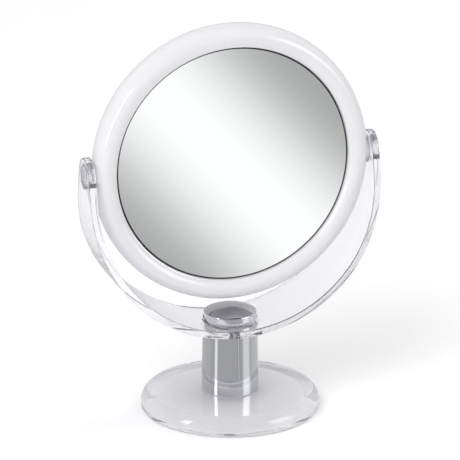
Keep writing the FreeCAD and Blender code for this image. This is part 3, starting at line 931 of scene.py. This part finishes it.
def add_glass(name, outline, turns, side, node):
    """Turns a glass's half outline, and paints all but its mirror face, which looks along side times Y. A
    strip round the mirror face's rim is painted dark too: painted shade of the gap between glass and ring.
    """
    points, faces = closed_lathe(outline, "Y", (0, 0, PIVOT_Z), turns)
    middle = np.array([points[face].mean(0) for face in faces])
    first, second, third = points[np.array([face[:3] for face in faces])].transpose(1, 0, 2)
    normal = np.cross(second - first, third - first)
    # faces near the rim, the mirror face's outer strip among them, go dark: on the mirror face this is
    # painted shade of the gap between glass and ring
    rim = np.hypot(middle[:, X], middle[:, Z] - PIVOT_Z) > GLASS_RADIUS - GAP_SHADE_RIM
    painted = rim | (side * normal[:, Y] < 0)
    add_piece(
        name, points, faces, finish("mirror"), "mirror_head", [node], finish("edge"), painted
    )


class MIRROR_OT_pivots(bpy.types.Operator):
    """Clear plugs that turn in the ears, drawn as far as the ring, and soft washers between ring and ears"""

    bl_idname = "mirror.pivots"
    bl_label = "Pivots"

    def execute(self, context):
        centre = (0, 0, PIVOT_Z)
        plug = [
            (0, WASHER_LOW_X + AIR_GAP),
            (SHANK_RADIUS, WASHER_LOW_X + AIR_GAP),
            (SHANK_RADIUS, WASHER_HIGH_X),
            (JOURNAL_RADIUS, WASHER_HIGH_X),
            (JOURNAL_RADIUS, JOURNAL_END_X),
            (0, JOURNAL_END_X),
        ]
        plug = rounded(plug, np.array([0, 0.3, 0.1, 0.2, 0.5, 0]) * MM)
        inner, outer = SHANK_RADIUS + EAR_CLEARANCE, BOSS_RADIUS
        near, far = WASHER_LOW_X + AIR_GAP, WASHER_HIGH_X - AIR_GAP
        washer = rounded([(inner, near), (outer, near), (outer, far), (inner, far)], WASHER_ROUND)
        for side, name in ((-1, "left"), (1, "right")):
            points, faces = closed_lathe(plug, "X", centre, PIVOT_TURNS)
            points, faces = facing(points, faces, side)
            add_piece(
                f"ear_plug_{name}", points, faces, finish("acrylic"), "mirror_head",
                [f"pivot_plug_{name}"],
            )
            points, faces = lathe(washer, "X", centre, PIVOT_TURNS)
            points, faces = facing(points, faces, side)
            add_piece(
                f"ear_washer_{name}", points, faces, finish("silicone"), "mirror_head",
                [f"pivot_washer_{name}"],
            )
        return {"FINISHED"}


def facing(points, faces, side):
    """The same shape for the right ear, or its mirror image for the left one, with its faces turned back."""
    if side > 0:
        return points, faces
    return points * (-1, 1, 1), [face[::-1] for face in faces]


class MIRROR_OT_inner_parts(bpy.types.Operator):
    """Finishes of the pieces that keep their CAD shape: bolt, nut, core, backings, tapes and foam"""

    bl_idname = "mirror.inner_parts"
    bl_label = "Inner parts"

    def execute(self, context):
        finishes = {
            "tie_bolt": "zinc",
            "bolt_washer": "zinc",
            "cap_nut": "zinc",
            "column_core": "abs",
            "cap_insert": "abs",
            "flat_mirror_backing": "paint",
            "magnifying_mirror_backing": "paint",
            "flat_mirror_tape": "tape",
            "magnifying_mirror_tape": "tape",
            "foam_core": "foam",
        }
        for node, name in finishes.items():
            mesh = frame["nodes"][node].data
            mesh.materials.clear()
            mesh.materials.append(finish(name))
        return {"FINISHED"}


# --- studio ----------------------------------------------------------------------------------------------
class MIRROR_OT_studio(bpy.types.Operator):
    """Pale floor, soft room light, two soft boxes and the camera"""

    bl_idname = "mirror.studio"
    bl_label = "Studio"

    def execute(self, context):
        settings = context.scene.mirror_studio
        make_floor(settings)
        make_room(settings)
        soft_box("key_box", place=(-1.4, -1.2, 1.9), size=1.4, power=26.0)
        soft_box("fill_box", place=(1.6, 0.3, 1.7), size=1.2, power=12.0)
        make_camera(settings)
        context.scene.view_settings.view_transform = "Standard"
        return {"FINISHED"}


def make_floor(settings):
    """A flat pale sheet, ten metres each way."""
    reach = 10.0
    mesh = bpy.data.meshes.new("studio_floor")
    corners = [(-reach, -reach, 0), (reach, -reach, 0), (reach, reach, 0), (-reach, reach, 0)]
    mesh.from_pydata(corners, [], [(0, 1, 2, 3)])
    paper = {"Base Color": (*settings.floor_colour, 1.0), "Roughness": 0.9}
    mesh.materials.append(new_material("studio_paper", paper))
    floor = bpy.data.objects.new("studio_floor", mesh)
    bpy.context.scene.collection.objects.link(floor)
    floor.visible_glossy = False


# Upright lights round the room: azimuth, half width and soft edge in degrees, brightness, and how many times
# brighter each is above the horizon. A narrow and a broad strip, and a faint wide glow towards each side.
LIGHT_STRIPS = (
    (-77.5, 6.0, 2.0, 0.7, 12.0),
    (52.5, 16.0, 6.0, 0.48, 9.0),
    (112.0, 34.0, 8.0, 0.18, 1.0),
    (-135.0, 30.0, 10.0, 0.09, 1.0),
)
# Where the room changes, as the sine of the elevation: first and last place of each smooth step
TABLE_STEP = (-0.62, -0.38)
HORIZON_STEP = (-0.1, 0.2)
CEILING_STEP = (0.5, 0.72)
OVERHEAD_STEP = (0.86, 0.96)
# Brightness, where 1 is white
TABLE_EXTRA = 0.35
SEEN_THROUGH_PLASTIC = 0.92
MATT_THROUGH_PLASTIC = 1.3
MATT_DARK_SIDE = 0.01
MATT_LIGHT_SIDE = 1.11
MATT_LIGHT_FROM = (-0.55, -0.5, 0.65)
# The slanting card: its middle, the half widths where it is white and where it has faded, both as sines, its
# two levels, and its reach in degrees
CARD_MIDDLE = 0.011
CARD_WHITE = 0.0024
CARD_FADED = 0.030
CARD_LEVELS = (1.10, 0.44)
CARD_REACH = (6.0, 4.0)


def make_room(settings):
    """The room by direction, and by the kind of ray that sees it.

    Shiny surfaces see it grey round the sides, with a paler table low down, the upright lights, and a
    slanting soft card in front. Light that has passed through something sees it pale. Both see a dark violet
    ceiling that is nearly black overhead. Matt surfaces see soft light that is strongest from the upper left
    in front. Through clear plastic, which hides the soft boxes from them, they see even bright light.
    """
    world = bpy.data.worlds.new("studio_room")
    bpy.context.scene.world = world
    world.use_nodes = True
    tree = world.node_tree
    tree.nodes.clear()
    direction = add_node(tree, "ShaderNodeTexCoord").outputs["Generated"]
    x, y, z = add_node(tree, "ShaderNodeSeparateXYZ", links={"Vector": direction}).outputs
    front = add_node(tree, "ShaderNodeMath", {"operation": "MULTIPLY", 1: -1.0}, {0: y})
    azimuth = add_node(tree, "ShaderNodeMath", {"operation": "ARCTAN2"}, {0: x, 1: front})
    smooth = {"interpolation_type": "SMOOTHSTEP"}
    table = {
        "From Min": TABLE_STEP[0], "From Max": TABLE_STEP[1],
        "To Min": settings.room_grey + TABLE_EXTRA, "To Max": settings.room_grey,
    }
    level = add_node(tree, "ShaderNodeMapRange", smooth | table, {"Value": z})
    for middle, half, edge, light, boost in LIGHT_STRIPS:
        turned = {"operation": "SUBTRACT", 1: math.radians(middle)}
        turned = add_node(tree, "ShaderNodeMath", turned, {0: azimuth})
        away = add_node(tree, "ShaderNodeMath", {"operation": "ABSOLUTE"}, {0: turned})
        sides = {
            "From Min": math.radians(half - edge), "From Max": math.radians(half + edge),
            "To Min": light, "To Max": 0.0,
        }
        sides = add_node(tree, "ShaderNodeMapRange", smooth | sides, {"Value": away})
        rise = {"From Min": HORIZON_STEP[0], "From Max": HORIZON_STEP[1], "To Min": 1.0, "To Max": boost}
        rise = add_node(tree, "ShaderNodeMapRange", smooth | rise, {"Value": z})
        strip = add_node(tree, "ShaderNodeMath", {"operation": "MULTIPLY"}, {0: sides, 1: rise})
        level = add_node(tree, "ShaderNodeMath", {"operation": "ADD"}, {0: level, 1: strip})
    level = slanting_card(tree, direction, level, settings)
    path = add_node(tree, "ShaderNodeLightPath").outputs
    clear = add_node(
        tree, "ShaderNodeMix", {"data_type": "FLOAT", "B": SEEN_THROUGH_PLASTIC},
        {"Factor": path["Is Transmission Ray"], "A": level},
    )
    ceiling = {"From Min": CEILING_STEP[0], "From Max": CEILING_STEP[1]}
    ceiling = add_node(tree, "ShaderNodeMapRange", smooth | ceiling, {"Value": z})
    overhead = {"From Min": OVERHEAD_STEP[0], "From Max": OVERHEAD_STEP[1]}
    overhead = add_node(tree, "ShaderNodeMapRange", smooth | overhead, {"Value": z})
    violet = {"data_type": "RGBA", "A": colour("#5A5474"), "B": colour("#0E0D12")}
    violet = add_node(tree, "ShaderNodeMix", violet, {"Factor": overhead})
    seen = add_node(
        tree, "ShaderNodeMix", {"data_type": "RGBA"},
        {"Factor": ceiling, "A": clear, "B": violet.outputs["Result"]},
    )
    scattered = add_node(
        tree, "ShaderNodeMix", {"data_type": "RGBA", "B": (*[MATT_THROUGH_PLASTIC] * 3, 1.0)},
        {"Factor": path["Diffuse Depth"], "A": seen.outputs["Result"]},
    )
    toward = {"operation": "DOT_PRODUCT", 1: Vector(MATT_LIGHT_FROM).normalized()}
    toward = add_node(tree, "ShaderNodeVectorMath", toward, {0: direction})
    soft = {"From Min": -1.0, "To Min": MATT_DARK_SIDE, "To Max": MATT_LIGHT_SIDE}
    soft = add_node(tree, "ShaderNodeMapRange", soft, {"Value": toward.outputs["Value"]})
    shade = add_node(
        tree, "ShaderNodeMix", {"data_type": "RGBA"},
        {"Factor": path["Is Glossy Ray"], "A": soft, "B": scattered.outputs["Result"]},
    )
    colour_seen = {"Color": shade.outputs["Result"]}
    background = add_node(tree, "ShaderNodeBackground", {"Strength": 1.0}, colour_seen)
    add_node(tree, "ShaderNodeOutputWorld", links={"Surface": background})


def slanting_card(tree, direction, level, settings):
    """A soft white stripe on a grey card, where the flat glass looks when it is seen from the camera.

    The glass changes the sign of a direction's Y part. The stripe's distance is measured along the sum of
    the camera's right and up directions so changed, so that the stripe slants across the glass.
    """
    a, e = settings.camera_azimuth, settings.camera_elevation
    ahead = Vector((-math.sin(a) * math.cos(e), -math.cos(a) * math.cos(e), -math.sin(e)))
    right = Vector((math.cos(a), -math.sin(a), 0))
    up = Vector((-math.sin(a) * math.sin(e), -math.cos(a) * math.sin(e), math.cos(e)))
    slant = (right + up).normalized()
    along = add_node(tree, "ShaderNodeVectorMath", {"operation": "DOT_PRODUCT", 1: slant}, {0: direction})
    near = add_node(tree, "ShaderNodeVectorMath", {"operation": "DOT_PRODUCT", 1: ahead}, {0: direction})
    offset = {"operation": "ADD", 1: -CARD_MIDDLE}
    offset = add_node(tree, "ShaderNodeMath", offset, {0: along.outputs["Value"]})
    away = add_node(tree, "ShaderNodeMath", {"operation": "ABSOLUTE"}, {0: offset})
    smooth = {"interpolation_type": "SMOOTHSTEP"}
    stripe = {
        "From Min": CARD_WHITE, "From Max": CARD_FADED, "To Min": CARD_LEVELS[0], "To Max": CARD_LEVELS[1]
    }
    stripe = add_node(tree, "ShaderNodeMapRange", smooth | stripe, {"Value": away})
    first, last = (math.cos(math.radians(reach)) for reach in CARD_REACH)
    mask = smooth | {"From Min": first, "From Max": last}
    mask = add_node(tree, "ShaderNodeMapRange", mask, {"Value": near.outputs["Value"]})
    return add_node(tree, "ShaderNodeMix", {"data_type": "FLOAT"}, {"Factor": mask, "A": level, "B": stripe})


def soft_box(name, place, size, power):
    """A square area light that faces the middle of the object."""
    light = bpy.data.lights.new(name, "AREA")
    light.size = size
    light.energy = power
    lamp = bpy.data.objects.new(name, light)
    lamp.location = place
    lamp.visible_glossy = False
    aim = Vector((0, 0, PIVOT_Z / 2)) - Vector(place)
    lamp.rotation_euler = aim.to_track_quat("-Z", "Y").to_euler()
    bpy.context.scene.collection.objects.link(lamp)


def make_camera(settings):
    """The camera stands at a distance from its target, by azimuth and elevation, and looks at it."""
    data = bpy.data.cameras.new("studio_camera")
    data.sensor_width = 36.0
    data.lens = settings.lens
    data.clip_start = 0.05
    data.clip_end = 50.0
    camera = bpy.data.objects.new("studio_camera", data)
    a, e = settings.camera_azimuth, settings.camera_elevation
    back = Vector((math.sin(a) * math.cos(e), -math.cos(a) * math.cos(e), math.sin(e)))
    camera.location = Vector(settings.target) + back * settings.camera_distance
    camera.rotation_euler = (-back).to_track_quat("-Z", "Y").to_euler()
    bpy.context.scene.collection.objects.link(camera)
    bpy.context.scene.camera = camera


# --- panel and registration --------------------------------------------------------------------------------
OPERATORS = (
    MIRROR_OT_base,
    MIRROR_OT_column,
    MIRROR_OT_yoke,
    MIRROR_OT_cap,
    MIRROR_OT_ring,
    MIRROR_OT_glasses,
    MIRROR_OT_pivots,
    MIRROR_OT_inner_parts,
    MIRROR_OT_studio,
)


class MIRROR_PT_panel(bpy.types.Panel):
    """Lists the settings and the steps that build the mirror"""

    bl_idname = "MIRROR_PT_panel"
    bl_label = "Countertop mirror"
    bl_space_type = "VIEW_3D"
    bl_region_type = "UI"
    bl_category = "Mirror"

    def draw(self, context):
        for settings in (context.scene.mirror_mesh, context.scene.mirror_studio):
            for name in settings.__annotations__:
                self.layout.prop(settings, name)
        for operator in OPERATORS:
            self.layout.operator(operator.bl_idname)


CLASSES = (MirrorStudioSettings, MirrorMeshSettings, *OPERATORS, MIRROR_PT_panel)


def register():
    for item in CLASSES:
        bpy.utils.register_class(item)
    bpy.types.Scene.mirror_studio = PointerProperty(type=MirrorStudioSettings)
    bpy.types.Scene.mirror_mesh = PointerProperty(type=MirrorMeshSettings)


def unregister():
    del bpy.types.Scene.mirror_mesh
    del bpy.types.Scene.mirror_studio
    for item in reversed(CLASSES):
        bpy.utils.unregister_class(item)


def main():
    """Registers the add-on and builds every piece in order."""
    register()
    bpy.ops.mirror.base()
    bpy.ops.mirror.column()
    bpy.ops.mirror.yoke()
    bpy.ops.mirror.cap()
    bpy.ops.mirror.ring()
    bpy.ops.mirror.glasses()
    bpy.ops.mirror.pivots()
    bpy.ops.mirror.inner_parts()
    bpy.ops.mirror.studio()
    bpy.context.view_layer.update()


if __name__ == "__main__":
    main()
